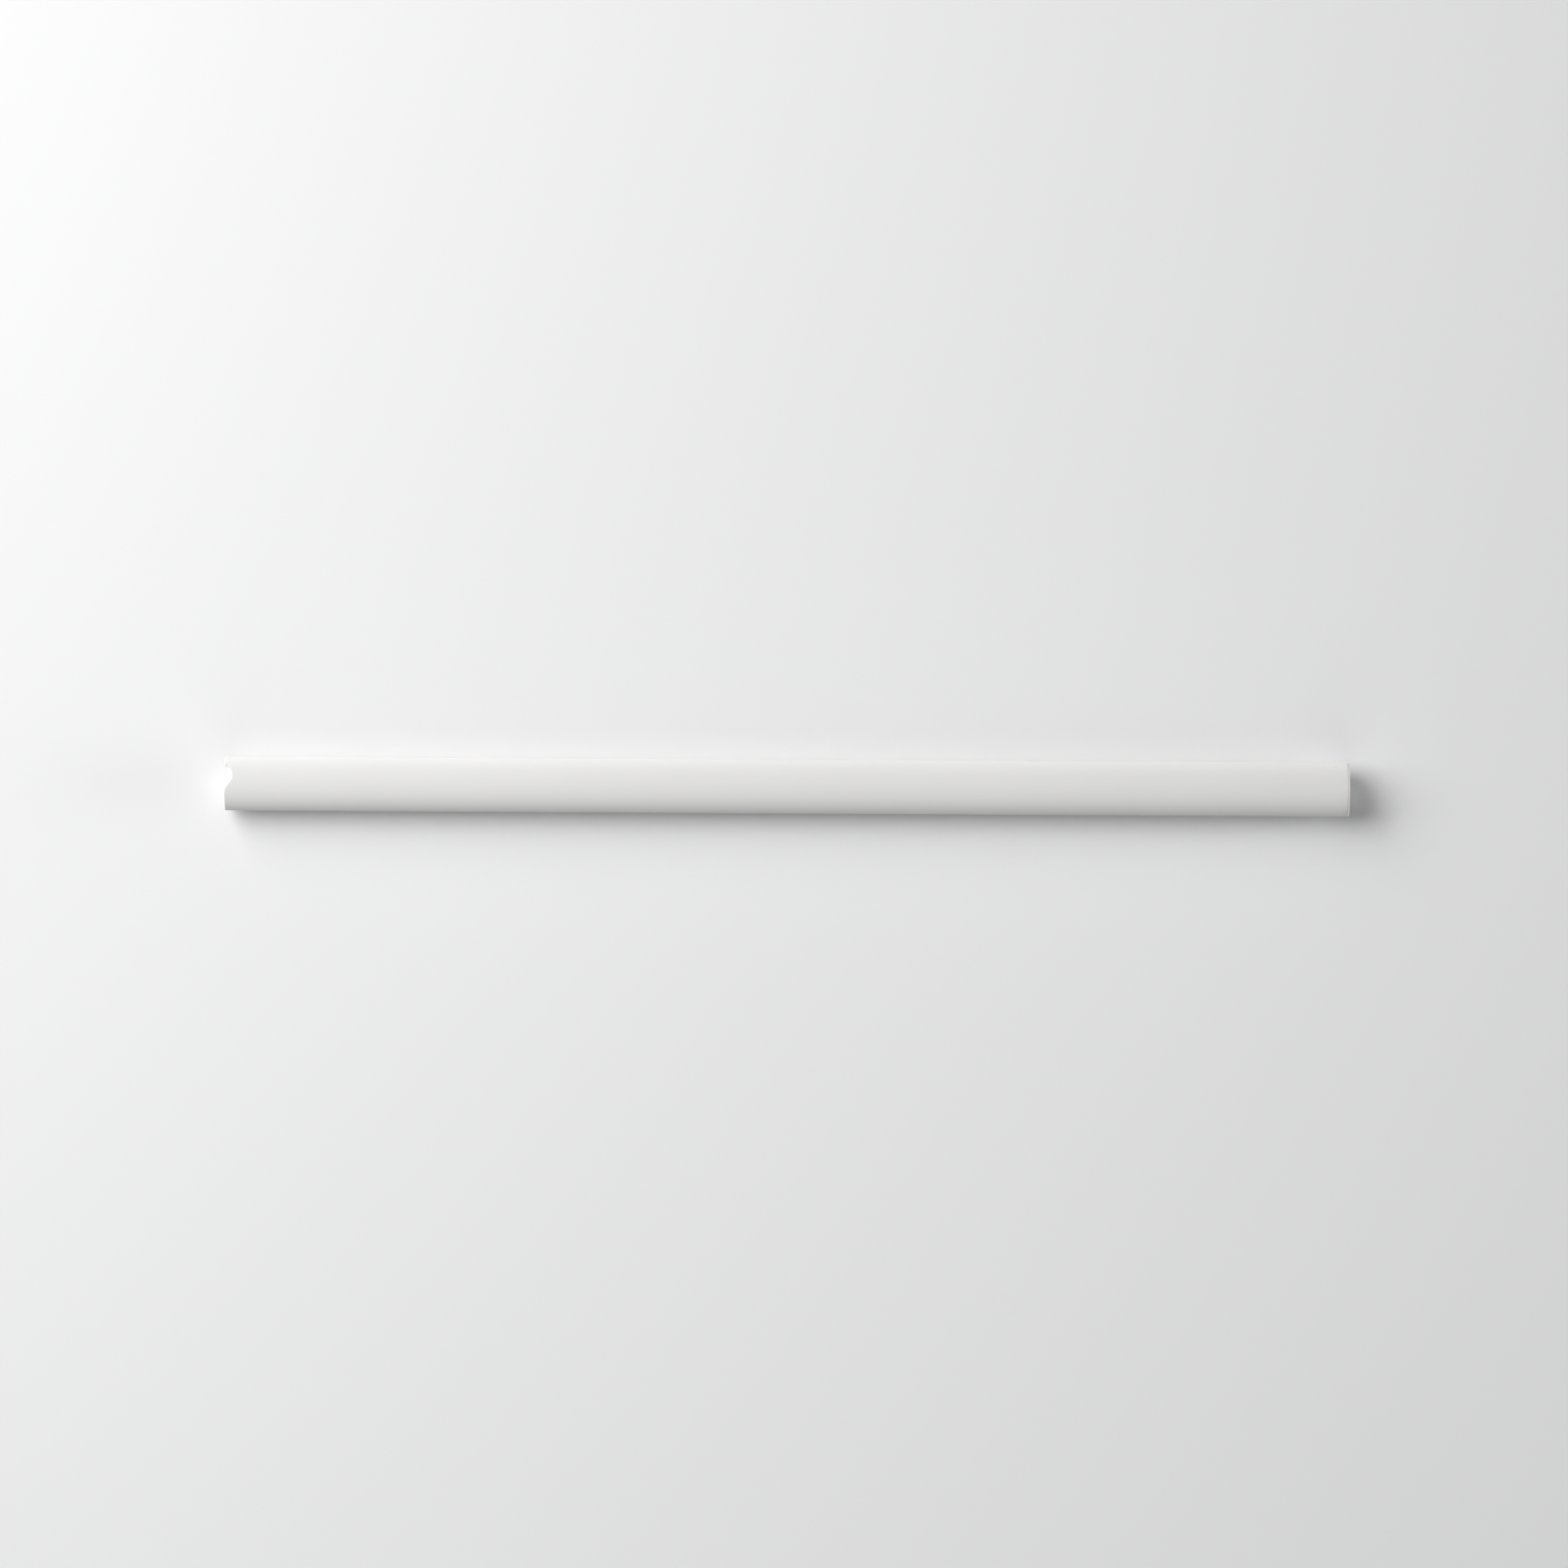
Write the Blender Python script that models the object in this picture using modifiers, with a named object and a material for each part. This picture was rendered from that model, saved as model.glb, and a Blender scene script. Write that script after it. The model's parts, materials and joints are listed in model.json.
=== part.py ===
"""Telescopic white cane, pushed together: a plain white tube with four thinner tubes and the tip inside it.

The cane lies along X on the plane z = 0, with its mouth and tip towards -X and its butt towards +X.
Run it with: blender --background --python part.py
"""

import math

import bpy
from mathutils import Vector

MM = 0.001

# Driving dimensions of the whole cane.
CANE_LENGTH = 313.0 * MM
CANE_RADIUS = 7.5 * MM
INNER_SECTIONS = 4
OUTER_WALL = 0.7 * MM
SECTION_WALL = 0.6 * MM
BUSH_SPACE = 0.5 * MM  # radial room between a tube's bore and the next tube

# Clearances and edges that every piece shares.
FIT_GAP = 0.05 * MM  # round a sliding, bonded or screwed fit
END_GAP = 0.3 * MM  # between faces that meet end to end
EDGE = 0.12 * MM  # chamfer on the edges of thin walls
FACETS = 32  # round a turned piece
ARC_STEPS = 3

# Thumb notch in the mouth of the outer tube: a round cutter, centred just outside the mouth.
NOTCH_RADIUS = 3.76 * MM
NOTCH_DEPTH = 2.26 * MM
NOTCH_TURN = math.radians(17.5)  # from straight up, towards +Y

# Butt cap, its O-ring and the bumper that the inner sections rest against.
CAP_FLANGE = 0.55 * MM
CAP_FILLET = 0.5 * MM
CAP_SPIGOT = 10.0 * MM
CAP_CHAMFER = 0.4 * MM
SEAL_FROM_FLANGE = 5.0 * MM
SEAL_GROOVE_WIDTH = 1.4 * MM
SEAL_CORD_RADIUS = 0.525 * MM
SEAL_CORD_FACETS = 8
BUMPER_HEAD = 3.0 * MM
BUMPER_HEAD_RADIUS = 6.0 * MM
BUMPER_STEM = 5.3 * MM
BUMPER_STEM_RADIUS = 1.9 * MM
BUMPER_EDGE = 0.4 * MM
BUMPER_REACH = 0.4 * MM  # from the bumper to the inner sections

# The back end of each inner section: guide bush, friction ring and the bead that is its stop.
GUIDE_LENGTH = 10.0 * MM
RING_LENGTH = 4.2 * MM
RING_SPLIT = 1.2 * MM
BEAD_LENGTH = 1.2 * MM
BEAD_RISE = 0.25 * MM

# The front end of each tube: a mouth bush, with a rim on all but the outer tube's.
MOUTH_BUSH_LENGTH = 14.0 * MM
OUTER_BUSH_INSET = 3.5 * MM
RIM_LENGTH = 1.2 * MM
RIM_FILLET = 0.3 * MM
RIM_STEP = 1.0 * MM  # each inner rim stands this far beyond the one round it

# Tip and the threaded insert that holds it.
TIP_INSET = 0.2 * MM
TIP_LENGTH = 24.4 * MM
TIP_RADIUS = 6.2 * MM
TIP_NOSE = 2.2 * MM  # length of the rounded nose
TIP_NOSE_POWER = 3.2  # 2 is an ellipse, more is squarer
TIP_NOSE_STEPS = 7
TIP_BACK_CHAMFER = 1.0 * MM
TIP_GRIP_GROOVES = 3
TIP_GRIP_START = 3.0 * MM  # from the tip's back to the first groove
TIP_GRIP_PITCH = 2.0 * MM
TIP_GROOVE_WIDTH = 0.8 * MM
TIP_GROOVE_DEPTH = 0.3 * MM
TIP_SOCKET_DEPTH = 9.5 * MM
TIP_REAR_GAP = 0.5 * MM
INSERT_PLUG = 12.0 * MM
INSERT_COLLAR = 0.8 * MM
STUD_RADIUS = 1.95 * MM
STUD_LENGTH = 8.0 * MM
STUD_CHAMFER = 0.3 * MM
STUD_END_ROOM = 0.5 * MM

# Places along the cane that follow from those.
MOUTH = -CANE_LENGTH / 2
BUTT = CANE_LENGTH / 2
FLANGE_FRONT = BUTT - CAP_FLANGE
SPIGOT_FRONT = FLANGE_FRONT - CAP_SPIGOT
SEAL_PLACE = FLANGE_FRONT - SEAL_FROM_FLANGE
BUMPER_BACK = SPIGOT_FRONT - END_GAP
BUMPER_FRONT = BUMPER_BACK - BUMPER_HEAD
SECTIONS_BACK = BUMPER_FRONT - BUMPER_REACH
GUIDE_FRONT = SECTIONS_BACK - GUIDE_LENGTH
RING_BACK = GUIDE_FRONT - END_GAP
RING_FRONT = RING_BACK - RING_LENGTH
BEAD_BACK = RING_FRONT - END_GAP
BEAD_FRONT = BEAD_BACK - BEAD_LENGTH
NOSE = MOUTH + TIP_INSET
TIP_BACK = NOSE + TIP_LENGTH
SOCKET_END = TIP_BACK - TIP_SOCKET_DEPTH
INSERT_FRONT = SOCKET_END + END_GAP
INSERT_BACK = INSERT_FRONT + INSERT_COLLAR


def tube_radius(section):
    """Outer radius of a tube. Section 0 is the outer tube, and the last one carries the tip."""
    if section == 0:
        return CANE_RADIUS
    first = CANE_RADIUS - OUTER_WALL - BUSH_SPACE
    return first - (section - 1) * (SECTION_WALL + BUSH_SPACE)


def bore_radius(section):
    return tube_radius(section) - (OUTER_WALL if section == 0 else SECTION_WALL)


def rim_front(section):
    """Front face of an inner section's mouth bush; the thinner tubes stand further forward."""
    return TIP_BACK + TIP_REAR_GAP + (INNER_SECTIONS - 1 - section) * RIM_STEP


def clear_scene():
    for old in list(bpy.data.objects):
        bpy.data.objects.remove(old)


def new_collection(name):
    collection = bpy.data.collections.new(name)
    bpy.context.scene.collection.children.link(collection)
    return collection


def surface(name, colour, roughness, metallic=0.0):
    material = bpy.data.materials.new(name)
    material.use_nodes = True
    shader = material.node_tree.nodes["Principled BSDF"]
    shader.inputs["Base Color"].default_value = (*colour, 1.0)
    shader.inputs["Roughness"].default_value = roughness
    shader.inputs["Metallic"].default_value = metallic
    return material


def axis_empty(name, parent=None):
    """An empty on the cane's axis, whose own Z points along the cane to the butt."""
    empty = bpy.data.objects.new(name, None)
    cane.objects.link(empty)
    if parent is None:
        empty.location = (0, 0, CANE_RADIUS)
        empty.rotation_euler = (0, math.radians(90), 0)
    else:
        empty.parent = parent
    return empty


def fillet(radius, place, size, start, end):
    """Points of an arc round (radius, place), in degrees from straight out, positive towards the butt."""
    points = []
    for step in range(ARC_STEPS + 1):
        angle = math.radians(start + (end - start) * step / ARC_STEPS)
        points.append((radius + size * math.cos(angle), place + size * math.sin(angle)))
    return points


def turned(name, outline, material, holder):
    """Turns an outline of (radius, place along the cane) round the axis of the holder.

    An outline runs down its outer side, from the butt to the mouth. It is a loop unless it starts on the axis.
    """
    mesh = bpy.data.meshes.new(name)
    corners = [(radius, 0, place) for radius, place in outline]
    edges = [(i, i + 1) for i in range(len(corners) - 1)]
    if outline[0][0] > 0:
        edges.append((len(corners) - 1, 0))
    mesh.from_pydata(corners, edges, [])
    mesh.materials.append(material)
    piece = bpy.data.objects.new(name, mesh)
    cane.objects.link(piece)
    piece.parent = holder
    turn = piece.modifiers.new("Turn", "SCREW")
    turn.steps = FACETS
    turn.render_steps = FACETS
    turn.use_merge_vertices = True
    turn.merge_threshold = 0.005 * MM
    return piece


def sleeve_outline(inner, outer, front, back):
    """A plain ring or tube with small chamfers on its four edges."""
    return [
        (outer - EDGE, back),
        (outer, back - EDGE),
        (outer, front + EDGE),
        (outer - EDGE, front),
        (inner + EDGE, front),
        (inner, front + EDGE),
        (inner, back - EDGE),
        (inner + EDGE, back),
    ]


def cut(piece, cutter):
    boolean = piece.modifiers.new("Cut", "BOOLEAN")
    boolean.operation = "DIFFERENCE"
    boolean.object = cutter


def move_to(collection, piece):
    for old in piece.users_collection:
        old.objects.unlink(piece)
    collection.objects.link(piece)


def keep_as_cutter(cutter, name, holder):
    cutter.name = name
    move_to(cutters, cutter)
    cutter.parent = holder
    cutter.hide_render = True
    cutter.display_type = "WIRE"


def make_notch_cutter(holder):
    """A round cutter that comes down through the top of the outer tube at its mouth."""
    straight_in = Vector((-math.cos(NOTCH_TURN), math.sin(NOTCH_TURN), 0))
    middle = straight_in * CANE_RADIUS
    middle.z = MOUTH + NOTCH_DEPTH - NOTCH_RADIUS
    bpy.ops.mesh.primitive_cylinder_add(
        vertices=FACETS, radius=NOTCH_RADIUS, depth=CANE_RADIUS, location=middle
    )
    cutter = bpy.context.object
    cutter.rotation_euler = straight_in.to_track_quat("Z", "Y").to_euler()
    keep_as_cutter(cutter, "thumb_notch_cutter", holder)
    return cutter


def make_split_cutter(holder):
    """A bar along the underside that opens the split in every friction ring."""
    reach = bore_radius(0)
    bpy.ops.mesh.primitive_cube_add(
        size=1, location=(reach / 2, 0, (RING_FRONT + RING_BACK) / 2)
    )
    cutter = bpy.context.object
    cutter.dimensions = (reach, RING_SPLIT, RING_LENGTH + END_GAP)
    keep_as_cutter(cutter, "ring_split_cutter", holder)
    return cutter


def make_outer_tube(holder, notch_cutter):
    outline = sleeve_outline(
        bore_radius(0), tube_radius(0), MOUTH, FLANGE_FRONT - FIT_GAP
    )
    tube = turned("outer_tube", outline, white_coat, holder)
    cut(tube, notch_cutter)


def make_butt_cap(holder):
    spigot = bore_radius(0) - FIT_GAP
    groove_floor = bore_radius(0) - 2 * FIT_GAP - 2 * SEAL_CORD_RADIUS
    groove_back = SEAL_PLACE + SEAL_GROOVE_WIDTH / 2
    groove_front = SEAL_PLACE - SEAL_GROOVE_WIDTH / 2
    hole = BUMPER_STEM_RADIUS + FIT_GAP
    hole_end = BUMPER_BACK + BUMPER_STEM + END_GAP
    outline = [(0, BUTT)]
    outline += fillet(CANE_RADIUS - CAP_FILLET, BUTT - CAP_FILLET, CAP_FILLET, 90, 0)
    outline += [
        (CANE_RADIUS, FLANGE_FRONT),
        (spigot, FLANGE_FRONT),
        (spigot, groove_back),
        (groove_floor, groove_back),
        (groove_floor, groove_front),
        (spigot, groove_front),
        (spigot, SPIGOT_FRONT + CAP_CHAMFER),
        (spigot - CAP_CHAMFER, SPIGOT_FRONT),
        (hole, SPIGOT_FRONT),
        (hole, hole_end),
        (0, hole_end),
    ]
    turned("butt_cap", outline, white_plastic, holder)


def make_butt_cap_o_ring(holder):
    bpy.ops.mesh.primitive_torus_add(
        location=(0, 0, SEAL_PLACE),
        major_radius=bore_radius(0) - FIT_GAP - SEAL_CORD_RADIUS,
        minor_radius=SEAL_CORD_RADIUS,
        major_segments=FACETS,
        minor_segments=SEAL_CORD_FACETS,
    )
    seal = bpy.context.object
    seal.name = "butt_cap_o_ring"
    seal.data.name = seal.name
    seal.data.shade_smooth()
    seal.data.materials.append(black_rubber)
    seal.parent = holder
    move_to(cane, seal)


def make_bumper(holder):
    """A rubber mushroom whose stem is pushed into the cap."""
    stem_end = BUMPER_BACK + BUMPER_STEM
    outline = [
        (0, stem_end),
        (BUMPER_STEM_RADIUS - STUD_CHAMFER, stem_end),
        (BUMPER_STEM_RADIUS, stem_end - STUD_CHAMFER),
        (BUMPER_STEM_RADIUS, BUMPER_BACK),
    ]
    middle = BUMPER_HEAD_RADIUS - BUMPER_EDGE
    outline += fillet(middle, BUMPER_BACK - BUMPER_EDGE, BUMPER_EDGE, 90, 0)
    outline += fillet(middle, BUMPER_FRONT + BUMPER_EDGE, BUMPER_EDGE, 0, -90)
    outline += [(0, BUMPER_FRONT)]
    turned("bumper", outline, grey_rubber, holder)


def make_outer_mouth_bush(holder):
    """Sits far enough inside the mouth to leave the tip's nose bare under the thumb notch."""
    front = MOUTH + OUTER_BUSH_INSET
    outline = sleeve_outline(
        tube_radius(1) + FIT_GAP,
        bore_radius(0) - FIT_GAP,
        front,
        front + MOUTH_BUSH_LENGTH,
    )
    turned("outer_mouth_bush", outline, acetal, holder)


def make_section_tube(section, front, holder):
    """A thin tube with a swaged bead near its back end, which stops it at the next mouth bush."""
    outer = tube_radius(section)
    inner = bore_radius(section)
    quarter = BEAD_LENGTH / 4
    bead = [
        (0, BEAD_BACK),
        (BEAD_RISE, BEAD_BACK - quarter),
        (BEAD_RISE, BEAD_FRONT + quarter),
        (0, BEAD_FRONT),
    ]
    plain = sleeve_outline(inner, outer, front, SECTIONS_BACK)
    outline = plain[:2]
    outline += [(outer + rise, place) for rise, place in bead]
    outline += plain[2:6]
    outline += [(inner + rise, place) for rise, place in reversed(bead)]
    outline += plain[6:]
    turned(f"section_{section}_tube", outline, white_coat, holder)


def make_guide_bush(section, holder):
    outline = sleeve_outline(
        tube_radius(section) + FIT_GAP,
        bore_radius(section - 1) - FIT_GAP,
        GUIDE_FRONT,
        SECTIONS_BACK,
    )
    turned(f"section_{section}_guide_bush", outline, acetal, holder)


def make_friction_ring(section, holder, split_cutter):
    outline = sleeve_outline(
        tube_radius(section) + FIT_GAP,
        bore_radius(section - 1) - FIT_GAP,
        RING_FRONT,
        RING_BACK,
    )
    ring = turned(f"section_{section}_friction_ring", outline, dark_acetal, holder)
    cut(ring, split_cutter)


def make_mouth_bush(section, holder):
    """Lines the mouth of an inner section, with a rim as wide as the tube in front of its end."""
    inner = tube_radius(section + 1) + FIT_GAP
    sleeve = bore_radius(section) - FIT_GAP
    rim = tube_radius(section)
    front = rim_front(section)
    back = front + MOUTH_BUSH_LENGTH
    outline = [
        (sleeve - EDGE, back),
        (sleeve, back - EDGE),
        (sleeve, front + RIM_LENGTH),
        (rim, front + RIM_LENGTH),
    ]
    outline += fillet(rim - RIM_FILLET, front + RIM_FILLET, RIM_FILLET, 0, -90)
    outline += [
        (inner + EDGE, front),
        (inner, front + EDGE),
        (inner, back - EDGE),
        (inner + EDGE, back),
    ]
    turned(f"section_{section}_mouth_bush", outline, acetal, holder)


def make_tip_insert(holder):
    """Brass plug in the last tube, with a stud for the tip."""
    plug = bore_radius(INNER_SECTIONS) - FIT_GAP
    collar = tube_radius(INNER_SECTIONS) - FIT_GAP
    plug_back = INSERT_BACK + INSERT_PLUG
    stud_front = INSERT_FRONT - STUD_LENGTH
    outline = [
        (0, plug_back),
        (plug - STUD_CHAMFER, plug_back),
        (plug, plug_back - STUD_CHAMFER),
        (plug, INSERT_BACK),
        (collar, INSERT_BACK),
        (collar, INSERT_FRONT),
        (STUD_RADIUS, INSERT_FRONT),
        (STUD_RADIUS, stud_front + STUD_CHAMFER),
        (STUD_RADIUS - STUD_CHAMFER, stud_front),
        (0, stud_front),
    ]
    turned("tip_insert", outline, brass, holder)


def nose_outline():
    """The rounded nose, from its shoulder to the axis, as a quarter of a superellipse."""
    points = []
    for step in range(TIP_NOSE_STEPS + 1):
        angle = math.radians(90 - 90 * step / TIP_NOSE_STEPS)
        out = max(math.sin(angle), 0) ** (2 / TIP_NOSE_POWER)
        forward = max(math.cos(angle), 0) ** (2 / TIP_NOSE_POWER)
        points.append((TIP_RADIUS * out, NOSE + TIP_NOSE * (1 - forward)))
    return points


def grip_grooves():
    """Shallow V-bottomed grooves that give fingers a hold on the tip, from its back end forwards."""
    points = []
    for groove in range(TIP_GRIP_GROOVES):
        back = TIP_BACK - TIP_GRIP_START - groove * TIP_GRIP_PITCH
        points += [
            (TIP_RADIUS, back),
            (TIP_RADIUS - TIP_GROOVE_DEPTH, back - TIP_GROOVE_WIDTH / 2),
            (TIP_RADIUS, back - TIP_GROOVE_WIDTH),
        ]
    return points


def make_tip(holder):
    socket = tube_radius(INNER_SECTIONS) + FIT_GAP
    stud_hole = STUD_RADIUS + FIT_GAP
    hole_end = INSERT_FRONT - STUD_LENGTH - STUD_END_ROOM
    outline = [
        (0, hole_end),
        (stud_hole, hole_end),
        (stud_hole, SOCKET_END),
        (socket, SOCKET_END),
        (socket, TIP_BACK),
        (TIP_RADIUS - TIP_BACK_CHAMFER, TIP_BACK),
        (TIP_RADIUS, TIP_BACK - TIP_BACK_CHAMFER),
    ]
    outline += grip_grooves()
    outline += nose_outline()
    turned("tip", outline, white_nylon, holder)


def make_inner_section(section, outside, split_cutter):
    """One tube with its bushes and ring. The ring slides in the tube outside it, and the tube turns in the ring."""
    slide = axis_empty(f"section_{section}_slide_axis", outside)
    twist = axis_empty(f"section_{section}_twist_axis", slide)
    make_friction_ring(section, slide, split_cutter)
    make_guide_bush(section, twist)
    if section < INNER_SECTIONS:
        make_section_tube(section, rim_front(section) + RIM_LENGTH + FIT_GAP, twist)
        make_mouth_bush(section, twist)
    else:
        make_section_tube(section, INSERT_BACK + FIT_GAP, twist)
        make_tip_insert(twist)
        make_tip(twist)
    return twist


clear_scene()
cane = new_collection("telescopic_white_cane")
cutters = new_collection("cutters")

white_coat = surface("white_coat", (0.86, 0.86, 0.84), 0.42)
white_plastic = surface("white_plastic", (0.84, 0.84, 0.82), 0.38)
white_nylon = surface("white_nylon", (0.88, 0.88, 0.86), 0.5)
acetal = surface("acetal", (0.70, 0.70, 0.68), 0.45)
dark_acetal = surface("dark_acetal", (0.10, 0.10, 0.11), 0.5)
grey_rubber = surface("grey_rubber", (0.22, 0.22, 0.23), 0.8)
black_rubber = surface("black_rubber", (0.03, 0.03, 0.03), 0.7)
brass = surface("brass", (0.72, 0.55, 0.25), 0.3, metallic=1.0)

cane_axis = axis_empty("cane_axis")
notch_cutter = make_notch_cutter(cane_axis)
split_cutter = make_split_cutter(cane_axis)
make_outer_tube(cane_axis, notch_cutter)
make_butt_cap(cane_axis)
make_butt_cap_o_ring(cane_axis)
make_bumper(cane_axis)
make_outer_mouth_bush(cane_axis)
outside = cane_axis
for section in range(1, INNER_SECTIONS + 1):
    outside = make_inner_section(section, outside, split_cutter)
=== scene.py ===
"""The finished look of the telescopic white cane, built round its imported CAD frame.

The cane lies along X with its mouth and tip towards -X. A piece is described by an outline, which is a
list of (place along the cane, radius) corners. A corner's third number is the radius of its fillet. Angles
round the cane run from straight up towards +Y. Lengths are in metres.
"""

import json
import math

import bmesh
import bpy
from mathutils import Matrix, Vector


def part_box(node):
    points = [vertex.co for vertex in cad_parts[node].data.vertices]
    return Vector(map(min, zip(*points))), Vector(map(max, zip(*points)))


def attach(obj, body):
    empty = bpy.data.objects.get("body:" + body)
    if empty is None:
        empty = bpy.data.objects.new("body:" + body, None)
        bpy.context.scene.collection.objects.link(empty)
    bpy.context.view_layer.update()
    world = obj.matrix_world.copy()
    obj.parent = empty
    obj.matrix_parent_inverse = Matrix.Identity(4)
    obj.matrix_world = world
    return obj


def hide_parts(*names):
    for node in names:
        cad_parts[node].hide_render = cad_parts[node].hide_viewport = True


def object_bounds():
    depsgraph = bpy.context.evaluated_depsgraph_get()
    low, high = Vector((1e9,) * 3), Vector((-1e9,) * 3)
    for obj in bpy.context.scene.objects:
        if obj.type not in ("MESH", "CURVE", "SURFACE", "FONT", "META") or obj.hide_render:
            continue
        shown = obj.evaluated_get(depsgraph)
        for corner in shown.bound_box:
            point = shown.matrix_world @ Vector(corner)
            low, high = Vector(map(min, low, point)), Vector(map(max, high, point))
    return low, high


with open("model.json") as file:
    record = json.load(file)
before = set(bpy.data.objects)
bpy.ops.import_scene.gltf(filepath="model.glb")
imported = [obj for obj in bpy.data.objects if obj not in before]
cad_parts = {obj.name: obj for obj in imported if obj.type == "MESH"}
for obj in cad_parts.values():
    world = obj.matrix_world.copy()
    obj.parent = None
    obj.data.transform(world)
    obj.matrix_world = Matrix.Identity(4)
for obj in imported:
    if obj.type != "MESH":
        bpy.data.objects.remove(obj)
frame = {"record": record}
cad_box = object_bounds()

MM = 0.001
MICRON = 0.001 * MM
RING = 2 * math.pi

# Sizes that every piece shares.
FIT = 0.05 * MM  # the radial gap of a sliding, bonded or screwed fit
END_GAP = 0.3 * MM  # between faces that meet end to end
EDGE = 0.12 * MM  # fillet on the edges of thin walls
SEAM_EDGE = 0.04 * MM  # fillet on the two edges that meet at the butt cap's seam
HOLD = 0.08 * MM  # how close a flat stretch's first ring stands to the edge it starts at
COLUMNS = 144  # round a turned piece
OUTER_COLUMNS = 224
ARC_STEPS = 6  # in a fillet
CREASE = math.radians(40)  # edges sharper than this are shaded sharp

# The mouth of the outer tube and its thumb notch, measured on the tube's unrolled surface.
NOTCH_TURN = math.radians(17.1)  # from straight up, towards +Y
NOTCH_DEPTH = 2.2 * MM
NOTCH_REACH_UP = 3.35 * MM  # from the deepest line to the steep side, which is a quarter ellipse
NOTCH_REACH_DOWN = 4.65 * MM  # to the gentle side, which is half a cosine wave
NOTCH_CORNER = 0.5 * MM
NOTCH_WALL_TURN = math.radians(47)  # up to here from straight up, the notch's walls are upright
ROUND_WALL_TURN = math.radians(62)  # from here on, the mouth's wall is square to the tube's surface
LIP_OUTSIDE = 0.42 * MM
LIP_INSIDE = 0.14 * MM
NOTCH_UP_STEPS = 30
NOTCH_DOWN_STEPS = 44
MOUTH_STRETCH = 7.0 * MM  # length over which the rings grow straight again behind the notch
MOUTH_STRETCH_STEPS = 9
MOUTH_STRETCH_POWER = 1.5  # above 1, the rings stand closer together towards the mouth
BUTT_ROLL = 0.04 * MM  # how far the tube is rolled in at its butt end
BUTT_ROLL_LENGTH = 1.6 * MM
BUTT_ROLL_STEPS = 6

# Details of single pieces.
BEAD_LENGTH = 1.2 * MM
BEAD_RISE = 0.25 * MM
BEAD_FILLET = 0.3 * MM
RIM_LENGTH = 1.2 * MM
RIM_FILLET = 0.3 * MM
RING_SPLIT = 1.2 * MM
CAP_FLANGE = 0.55 * MM
CAP_FILLET = 0.48 * MM
CAP_CHAMFER = 0.4 * MM
SEAL_GROOVE_WIDTH = 1.4 * MM
CORD_STEPS = 28  # round the O-ring's cord
GATE_RADIUS = 0.9 * MM  # the mark that the mould's gate leaves in the middle of the cap
GATE_DEPTH = 0.1 * MM
BUMPER_HEAD = 3.0 * MM
BUMPER_STEM_RADIUS = 1.9 * MM
BUMPER_FILLET = 0.4 * MM
TIP_NOSE = 2.2 * MM
TIP_NOSE_POWER = 3.2  # 2 is an ellipse, more is squarer
TIP_NOSE_STEPS = 28
TIP_BACK_CHAMFER = 1.0 * MM
TIP_GRIP_GROOVES = 3
TIP_GRIP_START = 3.0 * MM
TIP_GRIP_PITCH = 2.0 * MM
TIP_GROOVE_WIDTH = 0.8 * MM
TIP_GROOVE_DEPTH = 0.3 * MM
TIP_SOCKET_DEPTH = 9.5 * MM
INSERT_COLLAR = 0.8 * MM
STUD_RADIUS = 1.95 * MM
STUD_LENGTH = 8.0 * MM
STUD_CHAMFER = 0.3 * MM
STUD_END_ROOM = 0.5 * MM
THREAD_PITCH = 0.7 * MM
THREAD_DEPTH = 0.38 * MM
THREAD_RINGS = 14  # in one pitch
STUD_COLUMNS = 96

LAST = 4  # the section that carries the tip
AXIS_HEIGHT = (cad_box[0].z + cad_box[1].z) / 2


# Places and radii, read from the frame.


def front(node):
    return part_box(node)[0].x


def back(node):
    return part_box(node)[1].x


def reach(node):
    """The radius of a round CAD node at its widest."""
    low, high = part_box(node)
    return (high.y - low.y) / 2


def tube_node(section):
    return "outer_tube" if section == 0 else f"section_{section}_tube"


def tube_radius(section):
    return reach(tube_node(section)) - (BEAD_RISE if section else 0)


def bore_radius(section):
    if section < LAST:
        return reach(f"section_{section + 1}_guide_bush") + FIT
    wall = tube_radius(LAST - 1) - bore_radius(LAST - 1)
    return tube_radius(LAST) - wall


# Outlines and meshes.


def soften(corners, closed):
    """The outline with each corner that has a fillet rounded off."""
    points = []
    for i, corner in enumerate(corners):
        here = Vector(corner[:2])
        end_of_line = not closed and i in (0, len(corners) - 1)
        if len(corner) == 2 or end_of_line:
            points.append(here)
            continue
        to_last = (Vector(corners[i - 1][:2]) - here).normalized()
        to_next = (Vector(corners[(i + 1) % len(corners)][:2]) - here).normalized()
        half = to_last.angle(to_next) / 2
        centre = here + (to_last + to_next).normalized() * corner[2] / math.sin(half)
        first = here + to_last * corner[2] / math.tan(half) - centre
        final = here + to_next * corner[2] / math.tan(half) - centre
        sweep = first.angle_signed(final)
        for step in range(ARC_STEPS + 1):
            turn = -sweep * step / ARC_STEPS
            points.append(centre + Vector((
                first.x * math.cos(turn) - first.y * math.sin(turn),
                first.x * math.sin(turn) + first.y * math.cos(turn),
            )))
    return points


def hold_edges(points, closed):
    """Adds a point close to each end of every long stretch, so that shading stays flat along it."""
    held = []
    count = len(points)
    for i, here in enumerate(points):
        held.append(here)
        if i == count - 1 and not closed:
            continue
        stretch = points[(i + 1) % count] - here
        if stretch.length > 4 * HOLD:
            step = stretch.normalized() * HOLD
            held += [here + step, here + stretch - step]
    return held


def around(place, radius, angle):
    return Vector((place, radius * math.sin(angle), AXIS_HEIGHT + radius * math.cos(angle)))


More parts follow.
